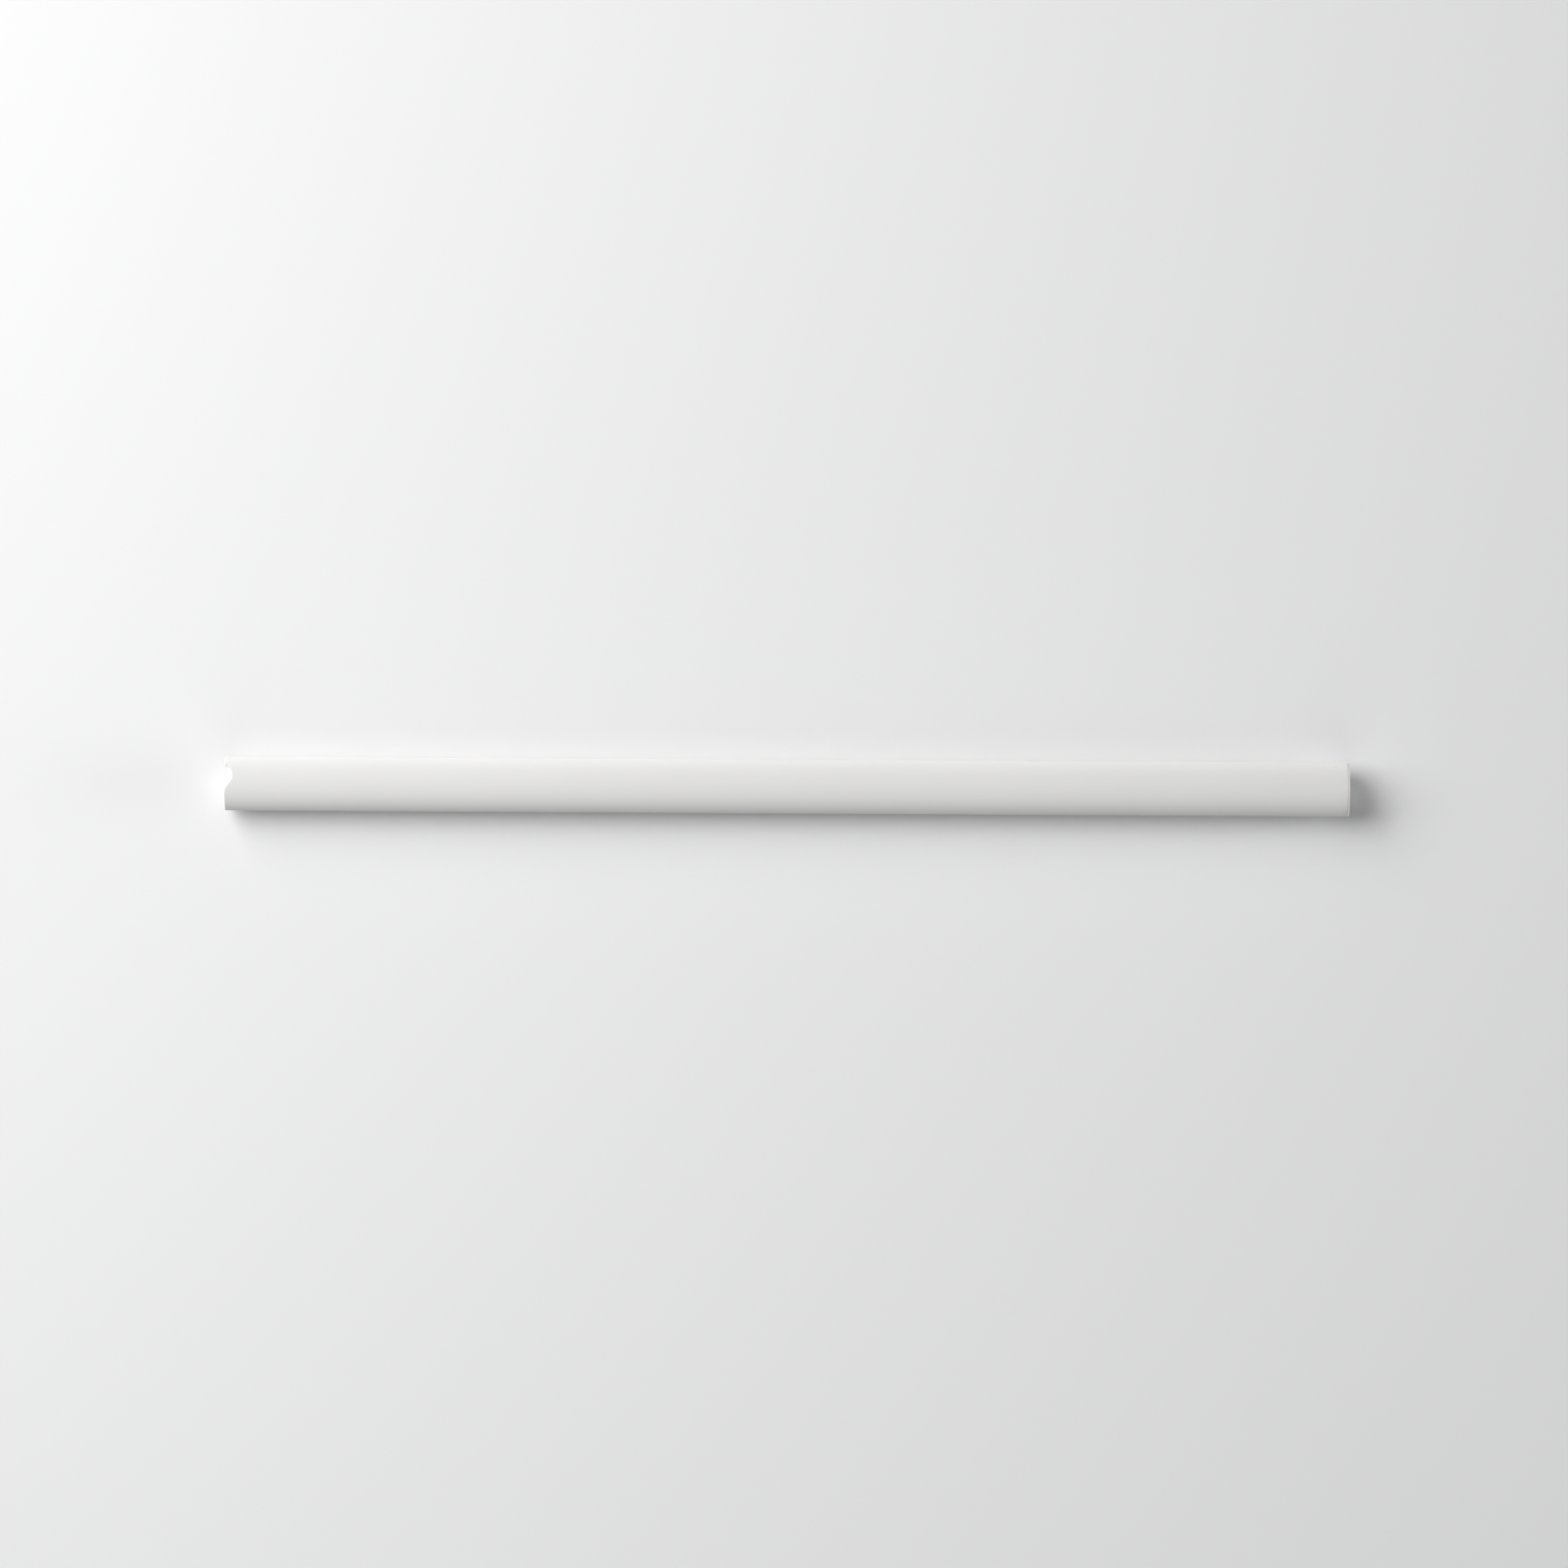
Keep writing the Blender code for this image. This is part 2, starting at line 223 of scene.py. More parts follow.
def skin(name, rows, closed, split=False):
    """A closed mesh over rows of points that go round the cane. A row of one point is on the axis."""
    shape = bmesh.new()
    rings = [[shape.verts.new(point) for point in row] for row in rows]
    pairs = list(zip(rings, rings[1:]))
    if closed:
        pairs.append((rings[-1], rings[0]))
    for near, far in pairs:
        count = max(len(near), len(far))
        for i in range(count - 1 if split else count):
            j = (i + 1) % count
            corners = [near[i % len(near)], near[j % len(near)], far[j % len(far)], far[i % len(far)]]
            shape.faces.new(list(dict.fromkeys(corners)))
    if split:
        shape.faces.new([ring[0] for ring in rings])
        shape.faces.new([ring[-1] for ring in reversed(rings)])
    bmesh.ops.recalc_face_normals(shape, faces=shape.faces)
    mesh = bpy.data.meshes.new(name)
    shape.to_mesh(mesh)
    shape.free()
    mesh.shade_smooth()
    mesh.set_sharp_from_angle(angle=CREASE)
    piece = bpy.data.objects.new(name, mesh)
    bpy.context.scene.collection.objects.link(piece)
    return piece


def turned(name, corners, closed=True, columns=COLUMNS, gap=0.0, relief=None):
    """Turns an outline round the cane's axis. A gap leaves the ring split on its underside."""
    rows = []
    steps = columns if gap == 0 else columns + 1
    for place, radius in hold_edges(soften(corners, closed), closed):
        if radius < FIT / 10:
            rows.append([around(place, 0, 0)])
            continue
        row = []
        for step in range(steps):
            angle = math.pi + gap / 2 + (RING - gap) * step / columns
            rise = relief(place, radius, angle) if relief else 0
            row.append(around(place, radius + rise, angle))
        rows.append(row)
    return skin(name, rows, closed, split=gap > 0)


def sleeve(inner, outer, start, end):
    """The outline of a plain ring or tube with rounded edges."""
    return [(end, outer, EDGE), (start, outer, EDGE), (start, inner, EDGE), (end, inner, EDGE)]


# The outer tube, with its scalloped mouth.


def notch_side_up():
    """The steep side of the notch, from its deepest point to the mouth, with a rounded corner."""
    turn_end = math.acos(NOTCH_CORNER / NOTCH_DEPTH)
    points = []
    for step in range(NOTCH_UP_STEPS + 1):
        turn = turn_end * step / NOTCH_UP_STEPS
        points.append(Vector((NOTCH_REACH_UP * math.sin(turn), NOTCH_DEPTH * math.cos(turn))))
    corner = points[-1] + Vector((NOTCH_CORNER, 0))
    for step in range(1, ARC_STEPS + 1):
        turn = math.pi / 2 * step / ARC_STEPS
        points.append(corner - NOTCH_CORNER * Vector((math.cos(turn), math.sin(turn))))
    return points


def notch_side_down():
    """The gentle side, from the mouth to just before the deepest point."""
    points = []
    for step in range(NOTCH_DOWN_STEPS):
        share = 1 - step / NOTCH_DOWN_STEPS
        depth = NOTCH_DEPTH * (1 + math.cos(math.pi * share)) / 2
        points.append(Vector((-NOTCH_REACH_DOWN * share, depth)))
    return points


def mouth_edge():
    """The mouth's edge on the unrolled surface, as (distance round from the notch's middle, depth)."""
    notch = notch_side_down() + notch_side_up()
    way_round = RING * tube_radius(0)
    rest = way_round - (notch[-1].x - notch[0].x)
    steps = OUTER_COLUMNS - len(notch) + 1
    plain = [Vector((notch[-1].x + rest * step / steps, 0)) for step in range(1, steps)]
    return notch + plain


def into_wall(edge):
    """For each point of the mouth's edge, the direction that leads squarely into the wall."""
    way_round = RING * tube_radius(0)
    directions = []
    count = len(edge)
    for i in range(count):
        along = edge[(i + 1) % count] - edge[i - 1]
        along.x %= way_round
        directions.append(Vector((-along.y, along.x)).normalized())
    return directions


def lip_profile():
    """(distance into the wall, radius) from the bore, over the mouth's edge, to the outside."""
    outer, inner = tube_radius(0), bore_radius(0)
    points = []
    for step in range(ARC_STEPS + 1):
        turn = math.pi / 2 * step / ARC_STEPS
        points.append((LIP_INSIDE * (1 - math.sin(turn)), inner + LIP_INSIDE * (1 - math.cos(turn))))
    for step in range(ARC_STEPS + 1):
        turn = math.pi / 2 * step / ARC_STEPS
        points.append((LIP_OUTSIDE * (1 - math.cos(turn)), outer - LIP_OUTSIDE * (1 - math.sin(turn))))
    return points


def ease(share):
    share = min(1, max(0, share))
    return share * share * (3 - 2 * share)


def wall_turn(turn, radius):
    """The turn at a radius inside the wall, for a turn on the outer surface.

    The notch is cut straight down, so its walls stay upright instead of running towards the cane's axis.
    """
    signed = math.remainder(turn, RING)
    lean = 1 - ease((abs(signed) - NOTCH_WALL_TURN) / (ROUND_WALL_TURN - NOTCH_WALL_TURN))
    if lean == 0:
        return turn
    return turn + lean * (math.asin(tube_radius(0) / radius * math.sin(signed)) - signed)


def make_outer_tube():
    mouth = front("outer_tube")
    butt = back("outer_tube")
    outer, inner = tube_radius(0), bore_radius(0)
    edge = mouth_edge()
    inward = into_wall(edge)
    count = len(edge)
    way_round = RING * outer

    def ring(depth, radius, straightness=0.0):
        """A row at a distance into the wall. Straightness 1 is an even ring behind the notch."""
        row = []
        for i in range(count):
            spot = edge[i] + inward[i] * depth
            even = Vector((edge[0].x + way_round * i / count, MOUTH_STRETCH))
            turn = wall_turn(NOTCH_TURN + spot.x / outer, radius)
            turn += straightness * (NOTCH_TURN + even.x / outer - turn)
            row.append(around(mouth + spot.lerp(even, straightness).y, radius, turn))
        return row

    shares = []
    for step in range(1, MOUTH_STRETCH_STEPS + 1):
        shares.append((step / MOUTH_STRETCH_STEPS) ** MOUTH_STRETCH_POWER)
    rows = [ring(LIP_INSIDE, inner, share) for share in reversed(shares)]
    rows += [ring(depth, radius) for depth, radius in lip_profile()]
    rows += [ring(LIP_OUTSIDE + HOLD / 2, outer)]
    rows += [ring(LIP_OUTSIDE, outer, share) for share in shares]
    far_end = [(mouth + MOUTH_STRETCH, outer)]
    for step in range(BUTT_ROLL_STEPS):
        share = step / BUTT_ROLL_STEPS
        far_end.append((butt - BUTT_ROLL_LENGTH * (1 - share), outer - BUTT_ROLL * share ** 2))
    far_end += [(butt, outer - BUTT_ROLL, SEAM_EDGE), (butt, inner, EDGE), (mouth + MOUTH_STRETCH, inner)]
    turns = [NOTCH_TURN + (edge[0].x + way_round * i / count) / outer for i in range(count)]
    for place, radius in hold_edges(soften(far_end, False), False)[1:-1]:
        rows.append([around(place, radius, turn) for turn in turns])
    return skin("outer_tube_finished", rows, closed=True)


# The other pieces.


def make_butt_cap():
    face = back("butt_cap")
    flange_front = face - CAP_FLANGE
    spigot_front = front("butt_cap")
    outer = reach("butt_cap")
    spigot = bore_radius(0) - FIT
    seal_low, seal_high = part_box("butt_cap_o_ring")
    seal_place = (seal_low.x + seal_high.x) / 2
    cord = seal_high.x - seal_low.x
    groove_floor = reach("butt_cap_o_ring") - cord - FIT
    hole = BUMPER_STEM_RADIUS + FIT
    hole_end = back("bumper") + END_GAP
    corners = [
        (face - GATE_DEPTH, 0),
        (face - GATE_DEPTH, GATE_RADIUS, EDGE / 2),
        (face, GATE_RADIUS + EDGE, EDGE / 2),
        (face, outer, CAP_FILLET),
        (flange_front, outer, SEAM_EDGE),
        (flange_front, spigot),
        (seal_place + SEAL_GROOVE_WIDTH / 2, spigot, EDGE),
        (seal_place + SEAL_GROOVE_WIDTH / 2, groove_floor, EDGE),
        (seal_place - SEAL_GROOVE_WIDTH / 2, groove_floor, EDGE),
        (seal_place - SEAL_GROOVE_WIDTH / 2, spigot, EDGE),
        (spigot_front + CAP_CHAMFER, spigot, EDGE),
        (spigot_front, spigot - CAP_CHAMFER, EDGE),
        (spigot_front, hole, EDGE),
        (hole_end, hole),
        (hole_end, 0),
    ]
    return turned("butt_cap_finished", corners, closed=False, columns=OUTER_COLUMNS)


def make_o_ring():
    low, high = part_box("butt_cap_o_ring")
    cord = (high.x - low.x) / 2
    middle = (high.x + low.x) / 2
    radius = reach("butt_cap_o_ring") - cord
    corners = []
    for step in range(CORD_STEPS):
        turn = RING * step / CORD_STEPS
        corners.append((middle + cord * math.cos(turn), radius + cord * math.sin(turn)))
    return turned("butt_cap_o_ring_finished", corners)


def make_bumper():
    start = front("bumper")
    stem_end = back("bumper")
    head_back = start + BUMPER_HEAD
    head = reach("bumper")
    corners = [
        (stem_end, 0),
        (stem_end, BUMPER_STEM_RADIUS, STUD_CHAMFER),
        (head_back, BUMPER_STEM_RADIUS, EDGE),
        (head_back, head, BUMPER_FILLET),
        (start, head, BUMPER_FILLET),
        (start, 0),
    ]
    return turned("bumper_finished", corners, closed=False)


def make_sleeve(node, inner):
    return turned(f"{node}_finished", sleeve(inner, reach(node), front(node), back(node)))


def make_friction_ring(section):
    node = f"section_{section}_friction_ring"
    inner = tube_radius(section) + FIT
    corners = sleeve(inner, reach(node), front(node), back(node))
    return turned(f"{node}_finished", corners, gap=RING_SPLIT / reach(node))


def make_section_tube(section):
    node = tube_node(section)
    start, end = front(node), back(node)
    outer, inner = tube_radius(section), bore_radius(section)
    bead_back = front(f"section_{section}_friction_ring") - END_GAP
    quarter = BEAD_LENGTH / 4
    bead = [
        (bead_back, 0, BEAD_FILLET),
        (bead_back - quarter, BEAD_RISE, BEAD_FILLET / 2),
        (bead_back - 3 * quarter, BEAD_RISE, BEAD_FILLET / 2),
        (bead_back - 4 * quarter, 0, BEAD_FILLET),
    ]
    corners = [(end, outer, EDGE)]
    corners += [(place, outer + rise, fillet) for place, rise, fillet in bead]
    corners += [(start, outer, EDGE), (start, inner, EDGE)]
    corners += [(place, inner + rise, fillet) for place, rise, fillet in reversed(bead)]
    corners += [(end, inner, EDGE)]
    return turned(f"{node}_finished", corners)


def make_mouth_bush(section):
    node = f"section_{section}_mouth_bush"
    start, end = front(node), back(node)
    inner = tube_radius(section + 1) + FIT
    liner = bore_radius(section) - FIT
    rim = reach(node)
    corners = [
        (end, liner, EDGE),
        (start + RIM_LENGTH, liner),
        (start + RIM_LENGTH, rim, EDGE / 2),
        (start, rim, RIM_FILLET),
        (start, inner, EDGE),
        (end, inner, EDGE),
    ]
    return turned(f"{node}_finished", corners)


def thread_cut(place, angle):
    """How deep a thread is cut at a place, as a share of its full depth."""
    turn = (place / THREAD_PITCH + angle / RING) % 1
    return min(1, max(0, 1.5 - 4 * abs(turn - 0.5)))


def make_tip_insert():
    stud_front = front("tip_insert")
    collar_front = stud_front + STUD_LENGTH
    collar_back = collar_front + INSERT_COLLAR
    plug_back = back("tip_insert")
    collar = reach("tip_insert")
    plug = bore_radius(LAST) - FIT
    thread_start = stud_front + STUD_CHAMFER
    thread_end = collar_front - THREAD_PITCH
    rings = round((thread_end - thread_start) / THREAD_PITCH * THREAD_RINGS)

    def relief(place, radius, angle):
        if radius > STUD_RADIUS or not thread_start <= place <= thread_end:
            return 0
        fade = min(1, (place - thread_start) / THREAD_PITCH, (thread_end - place) / THREAD_PITCH)
        return -THREAD_DEPTH * fade * thread_cut(place, angle)

    corners = [
        (plug_back, 0),
        (plug_back, plug, STUD_CHAMFER),
        (collar_back, plug),
        (collar_back, collar, EDGE),
        (collar_front, collar, EDGE),
        (collar_front, STUD_RADIUS),
    ]
    for ring in range(rings + 1):
        corners.append((thread_end + (thread_start - thread_end) * ring / rings, STUD_RADIUS))
    corners += [(stud_front, STUD_RADIUS - STUD_CHAMFER), (stud_front, 0)]
    return turned("tip_insert_finished", corners, closed=False, columns=STUD_COLUMNS, relief=relief)


def grip_grooves(radius, end):
    corners = []
    for groove in range(TIP_GRIP_GROOVES):
        start = end - TIP_GRIP_START - groove * TIP_GRIP_PITCH
        corners += [
            (start, radius, EDGE),
            (start - TIP_GROOVE_WIDTH / 2, radius - TIP_GROOVE_DEPTH, 2 * EDGE),
            (start - TIP_GROOVE_WIDTH, radius, EDGE),
        ]
    return corners


def nose_outline(radius, nose):
    """The rounded nose, from its shoulder to the axis, as a quarter of a superellipse."""
    corners = []
    for step in range(TIP_NOSE_STEPS + 1):
        turn = math.pi / 2 * step / TIP_NOSE_STEPS
        out = max(math.cos(turn), 0) ** (2 / TIP_NOSE_POWER)
        forward = math.sin(turn) ** (2 / TIP_NOSE_POWER)
        corners.append((nose + TIP_NOSE * (1 - forward), radius * out))
    return corners


def make_tip():
    end = back("tip")
    radius = reach("tip")
    socket = tube_radius(LAST) + FIT
    socket_end = end - TIP_SOCKET_DEPTH
    stud_hole = STUD_RADIUS + FIT
    hole_end = front("tip_insert") - STUD_END_ROOM
    corners = [
        (hole_end, 0),
        (hole_end, stud_hole),
        (socket_end, stud_hole),
        (socket_end, socket, EDGE),
        (end, socket, EDGE),
        (end, radius - TIP_BACK_CHAMFER, EDGE),
        (end - TIP_BACK_CHAMFER, radius, EDGE),
    ]
    corners += grip_grooves(radius, end)
    corners += nose_outline(radius, front("tip"))
    return turned("tip_finished", corners, closed=False)


# Materials.


class Recipe:
    """A material under construction. Most methods add a node and return its output."""

    def __init__(self, name):
        self.material = bpy.data.materials.new(name)
        self.material.use_nodes = True
        self.tree = self.material.node_tree
        self.shader = self.tree.nodes["Principled BSDF"]
        self.position = self.add("ShaderNodeTexCoord").outputs["Object"]

    def add(self, kind, inputs=(), **settings):
        node = self.tree.nodes.new(kind)
        for name, value in settings.items():
            setattr(node, name, value)
        for name, value in dict(inputs).items():
            self.feed(node.inputs[name], value)
        return node

    def feed(self, socket, value):
        if isinstance(value, bpy.types.NodeSocket):
            self.tree.links.new(value, socket)
        else:
            socket.default_value = value

    def set(self, **inputs):
        for name, value in inputs.items():
            self.feed(self.shader.inputs[name.replace("_", " ")], value)

    def stretched(self, along):
        """The position with lengths along the cane divided by a number, so patterns become streaks."""
        mapping = self.add("ShaderNodeMapping", {"Vector": self.position, "Scale": (1 / along, 1, 1)})
        return mapping.outputs["Vector"]

    def noise(self, size, detail=2.0, at=None):
        """Noise from 0 to 1 whose lumps are about size across."""
        inputs = {"Vector": at or self.position, "Scale": 1 / size, "Detail": detail}
        return self.add("ShaderNodeTexNoise", inputs).outputs["Fac"]

    def rings(self, size):
        """Fine irregular turning marks, on cylinders and on end faces alike."""
        split = self.add("ShaderNodeSeparateXYZ", {"Vector": self.position})
        down = self.sum(split.outputs["Z"], -AXIS_HEIGHT)
        flat = self.add("ShaderNodeCombineXYZ", {"Y": split.outputs["Y"], "Z": down})
        radius = self.add("ShaderNodeVectorMath", {0: flat.outputs["Vector"]}, operation="LENGTH")
        total = self.sum(split.outputs["X"], radius.outputs["Value"])
        inputs = {"W": total, "Scale": 1 / size, "Detail": 1.0}
        return self.add("ShaderNodeTexNoise", inputs, noise_dimensions="1D").outputs["Fac"]

    def specks(self, spacing, size):
        """1 on sparse round specks, 0 elsewhere."""
        cells = self.add("ShaderNodeTexVoronoi", {"Vector": self.position, "Scale": 1 / spacing})
        return self.graded(cells.outputs["Distance"], size / spacing, size / spacing / 3, 0, 1)

    def graded(self, value, low, high, to_low, to_high):
        """A smooth step from one result to another while the value goes from low to high."""
        inputs = {"Value": value, "From Min": low, "From Max": high}
        inputs.update({"To Min": to_low, "To Max": to_high})
        return self.add("ShaderNodeMapRange", inputs, interpolation_type="SMOOTHSTEP").outputs["Result"]

    def sum(self, first, second):
        return self.add("ShaderNodeMath", {0: first, 1: second}, operation="ADD").outputs["Value"]

    def product(self, first, second):
        return self.add("ShaderNodeMath", {0: first, 1: second}, operation="MULTIPLY").outputs["Value"]

    def along(self, start, end):
        """0 at one place along the cane, 1 at another."""
        split = self.add("ShaderNodeSeparateXYZ", {"Vector": self.position})
        return self.graded(split.outputs["X"], start, end, 0, 1)

    def blend(self, share, first, second):
        node = self.add("ShaderNodeMix", {"Factor": share}, data_type="RGBA")
        self.feed(node.inputs["A"], (*first, 1) if isinstance(first, tuple) else first)
        self.feed(node.inputs["B"], (*second, 1) if isinstance(second, tuple) else second)
        return node.outputs["Result"]

    def raise_by(self, height, depth):
        """Adds relief of this depth to what the surface already has."""
        inputs = {"Height": height, "Distance": depth, "Strength": 1.0}
        bump = self.add("ShaderNodeBump", inputs)
        if self.shader.inputs["Normal"].is_linked:
            self.feed(bump.inputs["Normal"], self.shader.inputs["Normal"].links[0].from_socket)
        self.feed(self.shader.inputs["Normal"], bump.outputs["Normal"])


def white_coat():
    """Satin white coat: barely clouded, with orange peel, a few dust specks and lengthwise handling marks."""
    coat = Recipe("white_coat")
    tone = coat.blend(coat.noise(35 * MM, 3), (0.775, 0.771, 0.759), (0.80, 0.796, 0.784))
    specks = coat.product(coat.specks(5 * MM, 0.09 * MM), 0.35)
    coat.set(Base_Color=coat.blend(specks, tone, (0.42, 0.40, 0.37)))
    streaks = coat.noise(0.5 * MM, 3, coat.stretched(40))
    patches = coat.graded(coat.noise(9 * MM, 4), 0.35, 0.7, 0.60, 0.68)
    coat.set(Roughness=coat.sum(patches, coat.product(streaks, 0.08)))
    coat.set(Specular_IOR_Level=0.3, Diffuse_Roughness=0.9)
    coat.raise_by(coat.noise(0.9 * MM, 1), 6 * MICRON)
    coat.raise_by(coat.noise(0.16 * MM, 2), 0.8 * MICRON)
    coat.raise_by(streaks, 0.7 * MICRON)
    return coat.material


def white_plastic():
    """Moulded plastic that light passes into a little, with the fine grain of the mould."""
    plastic = Recipe("white_plastic")
    tone = plastic.blend(plastic.noise(6 * MM, 3), (0.80, 0.795, 0.775), (0.83, 0.822, 0.80))
    plastic.set(Base_Color=tone, Subsurface_Weight=0.6, Subsurface_Scale=1 * MM)
    plastic.set(Subsurface_Radius=(1.6, 1.4, 1.2))
    plastic.set(Roughness=plastic.graded(plastic.noise(3 * MM, 3), 0.3, 0.7, 0.34, 0.42))
    plastic.raise_by(plastic.noise(0.12 * MM, 2), 1.5 * MICRON)
    return plastic.material


def white_nylon():
    """Nylon tip: bright and slightly waxy, with fine scuffs that gather at the nose."""
    nylon = Recipe("white_nylon")
    worn = nylon.along(front("tip") + 4 * MM, front("tip") + 0.5 * MM)
    marks = nylon.graded(nylon.noise(0.6 * MM, 6, nylon.stretched(3)), 0.52, 0.66, 0, 1)
    tone = nylon.blend(nylon.noise(8 * MM, 3), (0.84, 0.837, 0.82), (0.87, 0.867, 0.85))
    scuffs = nylon.product(nylon.product(worn, marks), 0.12)
    nylon.set(Base_Color=nylon.blend(scuffs, tone, (0.45, 0.43, 0.40)))
    nylon.set(Subsurface_Weight=0.5, Subsurface_Scale=1 * MM, Subsurface_Radius=(1.5, 1.4, 1.2))
    nylon.set(Roughness=nylon.sum(nylon.graded(marks, 0, 1, 0.42, 0.52), nylon.product(worn, 0.1)))
    nylon.raise_by(nylon.noise(0.2 * MM, 3), 2 * MICRON)
    nylon.raise_by(nylon.product(marks, worn), -4 * MICRON)
    return nylon.material


def turned_plastic(name, dark, light, roughness):
    """Acetal turned on a lathe: fine rings, and a slight waxy depth."""
    acetal = Recipe(name)
    rings = acetal.rings(0.07 * MM)
    tone = acetal.blend(acetal.noise(4 * MM, 3), dark, light)
    acetal.set(Base_Color=tone, Subsurface_Weight=0.25, Subsurface_Scale=0.6 * MM)
    acetal.set(Roughness=acetal.graded(rings, 0.3, 0.7, roughness - 0.05, roughness + 0.08))
    acetal.raise_by(rings, 2.5 * MICRON)
    acetal.raise_by(acetal.noise(0.3 * MM, 3), 1.5 * MICRON)
    return acetal.material


def rubber(name, dark, light, roughness):
    """Moulded rubber with a faint bloom."""
    gum = Recipe(name)
    bloom = gum.graded(gum.noise(1.4 * MM, 5), 0.45, 0.75, 0, 1)
    gum.set(Base_Color=gum.blend(bloom, dark, light))
    gum.set(Roughness=gum.graded(bloom, 0, 1, roughness, roughness + 0.12))
    gum.raise_by(gum.noise(0.1 * MM, 3), 3 * MICRON)
    return gum.material


def turned_brass():
    brass = Recipe("brass")
    rings = brass.rings(0.06 * MM)
    tarnish = brass.graded(brass.noise(1.8 * MM, 5), 0.45, 0.75, 0, 0.6)
    brass.set(Base_Color=brass.blend(tarnish, (0.80, 0.60, 0.26), (0.50, 0.34, 0.14)))
    brass.set(Metallic=1.0, Roughness=brass.sum(brass.graded(rings, 0.3, 0.7, 0.2, 0.32), tarnish))
    brass.raise_by(rings, 2 * MICRON)
    return brass.material


materials = {
    "white_coat": white_coat(),
    "white_plastic": white_plastic(),
    "white_nylon": white_nylon(),
    "acetal": turned_plastic("acetal", (0.68, 0.675, 0.65), (0.74, 0.735, 0.71), 0.38),
    "dark_acetal": turned_plastic("dark_acetal", (0.022, 0.022, 0.025), (0.04, 0.04, 0.044), 0.36),
    "grey_rubber": rubber("grey_rubber", (0.05, 0.05, 0.053), (0.11, 0.11, 0.112), 0.72),
    "black_rubber": rubber("black_rubber", (0.012, 0.012, 0.013), (0.05, 0.05, 0.05), 0.55),
    "brass": turned_brass(),
}


# Every piece takes the place of its CAD node, on that node's body and in its material slot.

body_of = {}
for body, nodes in frame["record"]["behaviour"]["bodies"].items():
    for node in nodes:
        body_of[node] = body
slot_of = {part["node"]: part["material_slot"] for part in frame["record"]["subparts"]}


def fit_out(piece, node):
    piece.data.materials.append(materials[slot_of[node]])
    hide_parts(node)
    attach(piece, body_of[node])


fit_out(make_outer_tube(), "outer_tube")
fit_out(make_butt_cap(), "butt_cap")
fit_out(make_o_ring(), "butt_cap_o_ring")
fit_out(make_bumper(), "bumper")
fit_out(make_sleeve("outer_mouth_bush", tube_radius(1) + FIT), "outer_mouth_bush")
for section in range(1, LAST + 1):
    fit_out(make_section_tube(section), tube_node(section))
    guide = f"section_{section}_guide_bush"
    fit_out(make_sleeve(guide, tube_radius(section) + FIT), guide)
    fit_out(make_friction_ring(section), f"section_{section}_friction_ring")
    if section < LAST:
        fit_out(make_mouth_bush(section), f"section_{section}_mouth_bush")
fit_out(make_tip_insert(), "tip_insert")
fit_out(make_tip(), "tip")


# The floor, the light and the camera.

FLOOR_SIDE = 8.0
LIGHT_DISTANCE = 1.4
WHITE = (1, 1, 1)
COOL = (0.975, 0.985, 1.0)
CAMERA_HEIGHT = 3.1
VIEW_WIDTH = 0.4366  # what the picture spans at the height of the cane's axis
VIEW_ROLL = math.radians(0.32)
VIEW_SHIFT = Vector((-0.8 * MM, 0.7 * MM))


def white_paper():
    paper = Recipe("white_paper")
    tone = paper.blend(paper.noise(0.5 * MM, 4), (0.79, 0.79, 0.79), (0.81, 0.81, 0.81))
    paper.set(Base_Color=tone, Roughness=0.9, IOR=1.3)
    paper.raise_by(paper.noise(0.7 * MM, 3), 12 * MICRON)
    return paper.material


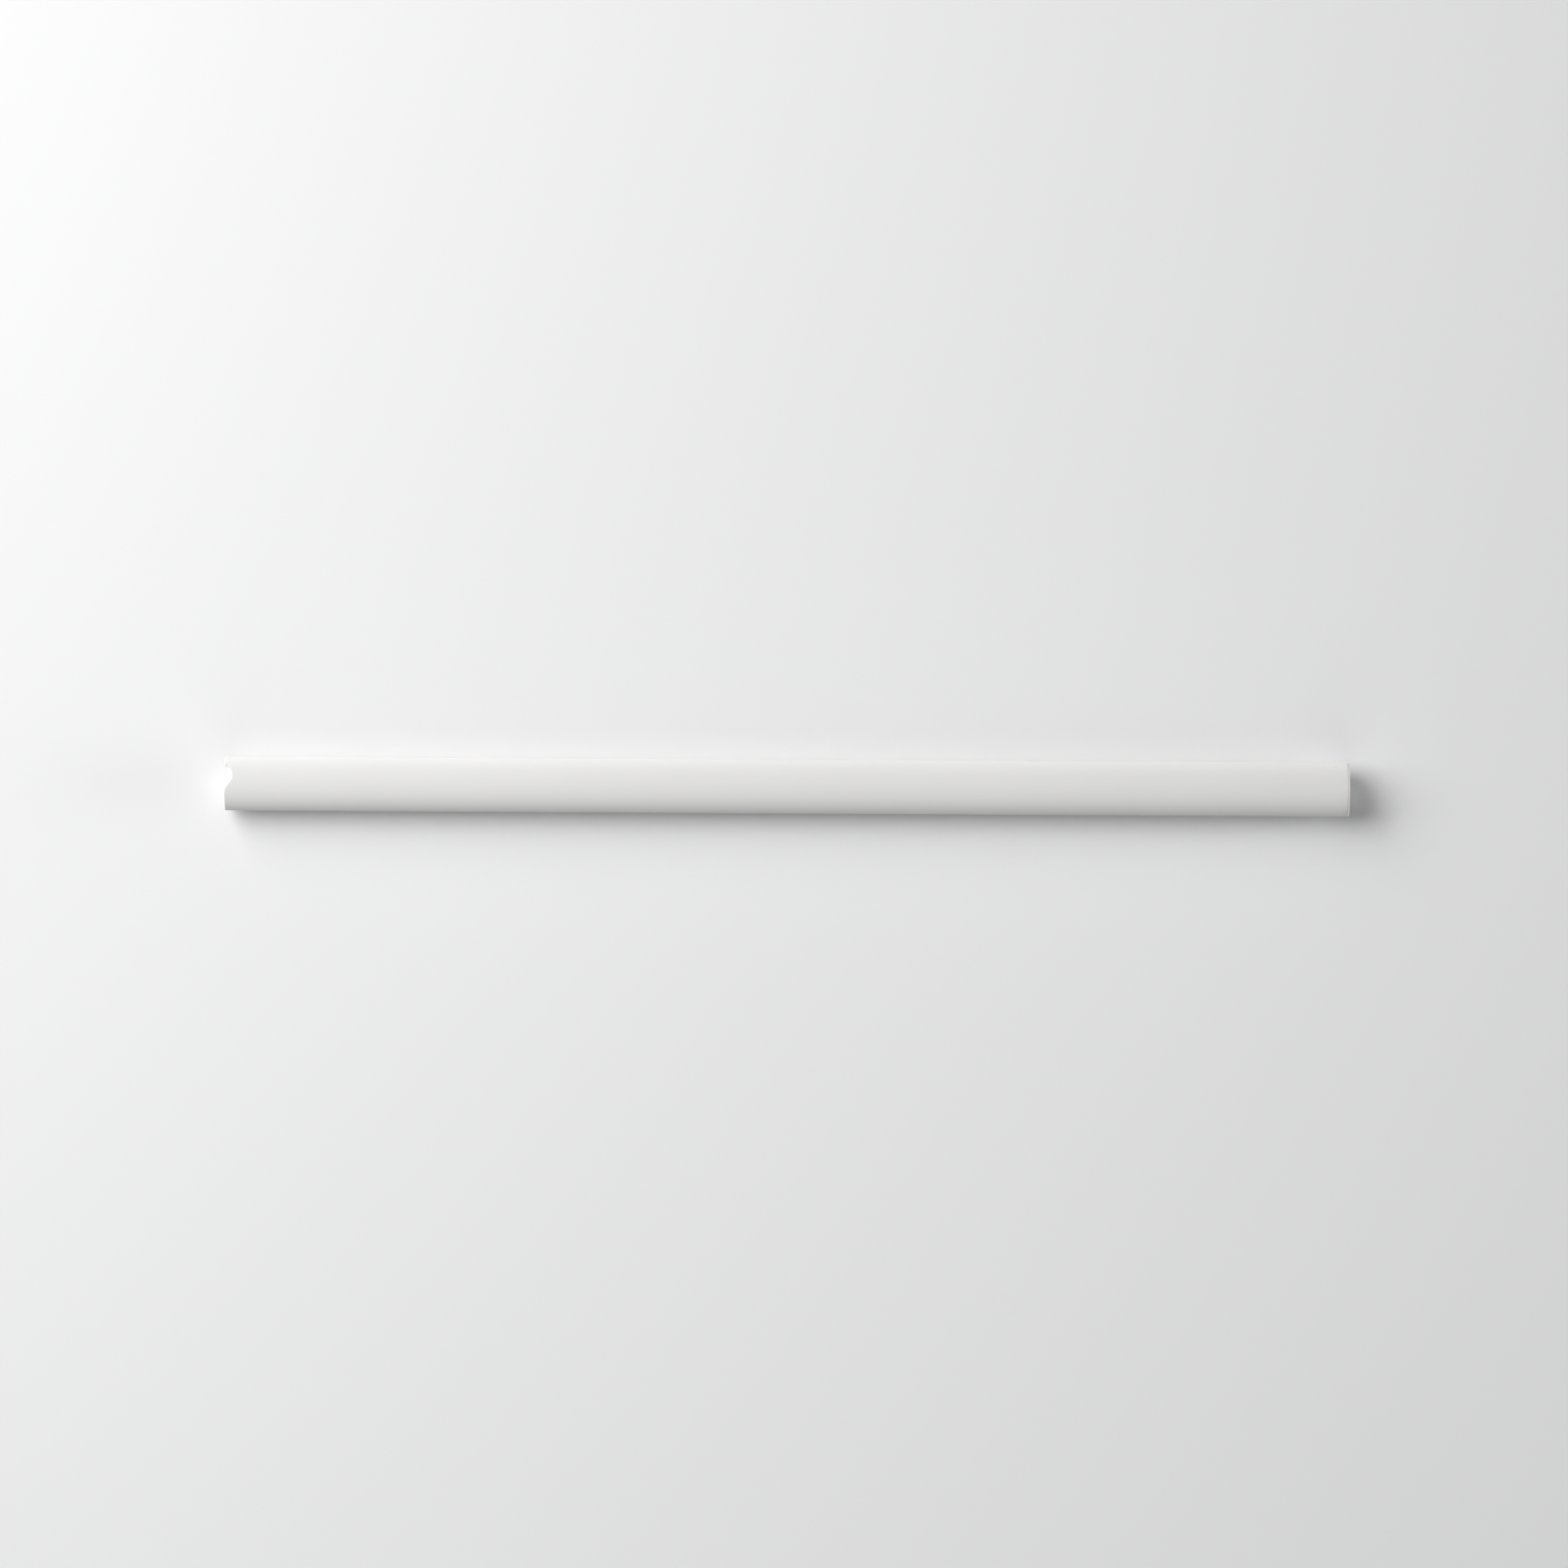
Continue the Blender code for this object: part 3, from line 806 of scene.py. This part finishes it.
def make_floor():
    half = FLOOR_SIDE / 2
    mesh = bpy.data.meshes.new("floor")
    corners = [(-half, -half, 0), (half, -half, 0), (half, half, 0), (-half, half, 0)]
    mesh.from_pydata(corners, [], [(0, 1, 2, 3)])
    mesh.materials.append(white_paper())
    floor = bpy.data.objects.new("floor", mesh)
    bpy.context.scene.collection.objects.link(floor)


def soft_light(name, bearing, elevation, width, height, watts, colour=WHITE):
    """A soft box that faces the cane. Bearing 0 is towards +X and 90 towards +Y, in degrees."""
    turn, rise = math.radians(bearing), math.radians(elevation)
    towards = Vector((math.cos(rise) * math.cos(turn), math.cos(rise) * math.sin(turn), math.sin(rise)))
    lamp = bpy.data.lights.new(name, "AREA")
    lamp.shape = "RECTANGLE"
    lamp.size = width
    lamp.size_y = height
    lamp.energy = watts
    lamp.color = colour
    holder = bpy.data.objects.new(name, lamp)
    holder.location = towards * LIGHT_DISTANCE
    holder.rotation_euler = towards.to_track_quat("Z", "Y").to_euler()
    holder.visible_camera = False
    bpy.context.scene.collection.objects.link(holder)


def light_room(colour, strength):
    world = bpy.data.worlds.new("room")
    world.use_nodes = True
    background = world.node_tree.nodes["Background"]
    background.inputs["Color"].default_value = (*colour, 1)
    background.inputs["Strength"].default_value = strength
    bpy.context.scene.world = world


def make_camera():
    lens = bpy.data.cameras.new("camera")
    lens.angle = 2 * math.atan(VIEW_WIDTH / 2 / (CAMERA_HEIGHT - AXIS_HEIGHT))
    camera = bpy.data.objects.new("camera", lens)
    camera.location = (VIEW_SHIFT.x, VIEW_SHIFT.y, CAMERA_HEIGHT)
    camera.rotation_euler = (0, 0, VIEW_ROLL)
    bpy.context.scene.collection.objects.link(camera)
    bpy.context.scene.camera = camera


make_floor()
soft_light("high_window", bearing=150, elevation=57, width=1.0, height=0.7, watts=11)
soft_light("low_window", bearing=150, elevation=36, width=1.5, height=0.7, watts=13.2)
soft_light("front_fill", bearing=270, elevation=34, width=0.9, height=0.9, watts=3, colour=COOL)
soft_light("end_fill", bearing=0, elevation=12, width=0.6, height=0.6, watts=6.5, colour=COOL)
light_room(WHITE, 0.085)
make_camera()
bpy.context.scene.view_settings.view_transform = "Standard"
